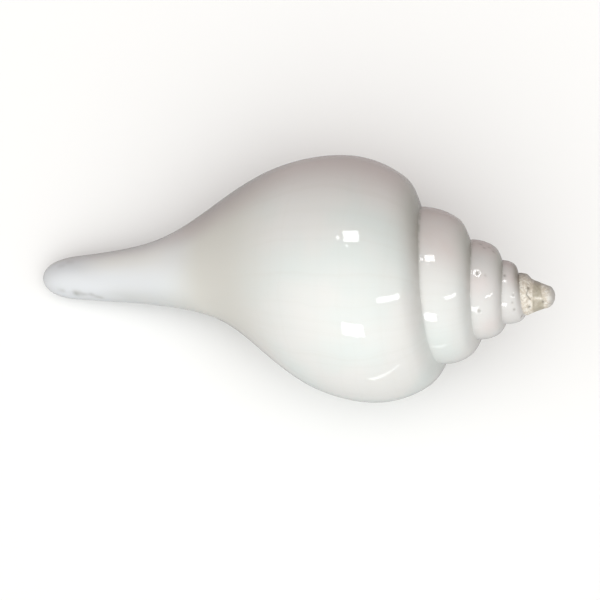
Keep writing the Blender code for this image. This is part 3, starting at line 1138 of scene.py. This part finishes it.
def shell_finish(look):
    """Polished porcelain white, peach in the throat, dull chalk with a brown band at the nucleus."""
    finish = Finish("polished_shell")
    turn = finish.noted("turn")
    down = finish.noted("down")
    chalk = finish.noted("chalk")
    throat = finish.slope(finish.noted("throat"), *THROAT_COMES)
    neck = finish.band(down, NECK_COMES, NECK_GOES)
    colour = body_colour(finish, look, turn, down, neck)
    colour = side_colour(finish, look, colour, down, neck)
    colour = finish.tint(colour, look.throat, throat * THROAT_SHARE)
    colour = finish.tint(colour, chalk_colour(finish, look, down), chalk)
    colour = finish.tint(colour, look.stain, finish.noted("stain") * finish.uneven(STAIN_TINT))
    colour = finish.tint(colour, look.grime, finish.noted("grime"))
    relief = {"Strength": 0.4, "Distance": 0.2 * MM, "Height": finish.grain(RELIEF_GRAIN) * chalk}
    normal = finish.node("ShaderNodeBump", inputs=relief, output="Normal")
    rough = look.polish + (look.dullness - look.polish) * chalk
    finish.set(Base_Color=colour, Roughness=rough, Normal=normal, IOR=1.4)
    finish.set(Subsurface_Weight=0.12, Subsurface_Scale=2.0 * MM, Subsurface_Radius=(1.0, 0.85, 0.7))
    return finish.owner


def paper_finish(colour, bounce):
    """Matt pale paper that throws back less light on the shell than it shows."""
    finish = Finish("pale_paper")
    seen = finish.node("ShaderNodeLightPath", output="Is Camera Ray")
    finish.set(Base_Color=finish.tint(bounce, colour, seen), Roughness=0.9)
    return finish.owner


def add_piece(name, mesh, material):
    """Put a finished bmesh in the scene as a named, smooth-shaded object."""
    data = bpy.data.meshes.new(name)
    mesh.to_mesh(data)
    mesh.free()
    data.materials.append(material)
    data.shade_smooth()
    piece = bpy.data.objects.new(name, data)
    bpy.context.scene.collection.objects.link(piece)
    return piece


class CONCH_OT_grow_shell(bpy.types.Operator):
    """Grow the shell, wear and polish it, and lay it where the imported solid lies."""

    bl_idname = "conch.grow_shell"
    bl_label = "Grow the shell"

    def execute(self, context):
        form = context.scene.conch_form
        coil = Coil(form)
        skin = grow_skin(coil)
        wear_skin(skin, coil, form.waviness)
        lay_to_rest(skin, form)
        if any(edge.is_boundary for edge in skin.edges):
            raise RuntimeError("the shell's skin has an open edge")
        shell = add_piece("polished_conch", skin, shell_finish(context.scene.conch_finish))
        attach(shell, "root")
        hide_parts(CAD_NODE)
        return {"FINISHED"}


def hang_window(window, brightness):
    """Hang a rectangular light that faces its aim and shows only in the gloss."""
    data = bpy.data.lights.new(window.name, "AREA")
    data.shape = "RECTANGLE"
    data.size = window.width
    data.size_y = window.height
    data.energy = math.pi * window.width * window.height * window.brightness * brightness
    light = bpy.data.objects.new(window.name, data)
    facing = (Vector(window.place) - Vector(window.aim)).to_track_quat("Z", "Y").to_matrix()
    light.rotation_euler = (facing @ Matrix.Rotation(window.twist, 3, "Z")).to_euler()
    light.location = window.place
    light.visible_diffuse = False
    light.visible_camera = False
    bpy.context.scene.collection.objects.link(light)


def light_room(stage):
    """Soft light from all round, much brighter from the side that the windows are on."""
    room = Nodes(bpy.data.worlds.new("room"), "Background")
    towards = room.node("ShaderNodeTexCoord", output="Generated")
    sides = {0: towards, 1: BRIGHT_SIDE}
    facing = room.node("ShaderNodeVectorMath", {"operation": "DOT_PRODUCT"}, sides, "Value")
    height = room.node("ShaderNodeSeparateXYZ", inputs={0: towards}, output="Z")
    colour = room.tint(stage.skirting, stage.dim, room.slope(height, *SKIRTING_SPREAD))
    colour = room.tint(colour, stage.bright, room.slope(facing, *BRIGHT_SPREAD))
    room.set(Color=colour, Strength=stage.room)
    bpy.context.scene.world = room.owner


class CONCH_OT_set_stage(bpy.types.Operator):
    """Lay the pale floor, hang the lights and place the camera."""

    bl_idname = "conch.set_stage"
    bl_label = "Set the stage"

    def execute(self, context):
        stage = context.scene.conch_stage
        sheet = bmesh.new()
        bmesh.ops.create_grid(sheet, x_segments=1, y_segments=1, size=FLOOR_SIZE / 2.0)
        add_piece("floor", sheet, paper_finish(stage.floor, stage.bounce))

        light_room(stage)
        for window in WINDOWS:
            hang_window(window, stage.windows)
        context.scene.view_settings.view_transform = "Standard"

        lens = bpy.data.cameras.new("camera")
        lens.lens = stage.lens
        camera = bpy.data.objects.new("camera", lens)
        camera.location = stage.camera_place
        camera.rotation_euler = stage.camera_turn
        context.scene.collection.objects.link(camera)
        context.scene.camera = camera
        return {"FINISHED"}


class VIEW3D_PT_conch(bpy.types.Panel):
    """Sizes, finish and stage of the conch shell."""

    bl_label = "Conch shell"
    bl_idname = "VIEW3D_PT_conch"
    bl_space_type = "VIEW_3D"
    bl_region_type = "UI"
    bl_category = "Conch shell"

    def draw(self, context):
        scene = context.scene
        self.layout.operator(CONCH_OT_grow_shell.bl_idname)
        self.layout.operator(CONCH_OT_set_stage.bl_idname)
        for group in (scene.conch_form, scene.conch_finish, scene.conch_stage):
            box = self.layout.box()
            for name in group.__annotations__:
                box.prop(group, name)


CLASSES = (ConchForm, ConchFinish, ConchStage, CONCH_OT_grow_shell, CONCH_OT_set_stage, VIEW3D_PT_conch)


def register():
    for item in CLASSES:
        bpy.utils.register_class(item)
    bpy.types.Scene.conch_form = PointerProperty(type=ConchForm)
    bpy.types.Scene.conch_finish = PointerProperty(type=ConchFinish)
    bpy.types.Scene.conch_stage = PointerProperty(type=ConchStage)


def unregister():
    del bpy.types.Scene.conch_stage
    del bpy.types.Scene.conch_finish
    del bpy.types.Scene.conch_form
    for item in reversed(CLASSES):
        bpy.utils.unregister_class(item)


def main():
    """Grow the shell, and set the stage."""
    register()
    bpy.ops.conch.grow_shell()
    bpy.ops.conch.set_stage()


if __name__ == "__main__":
    main()
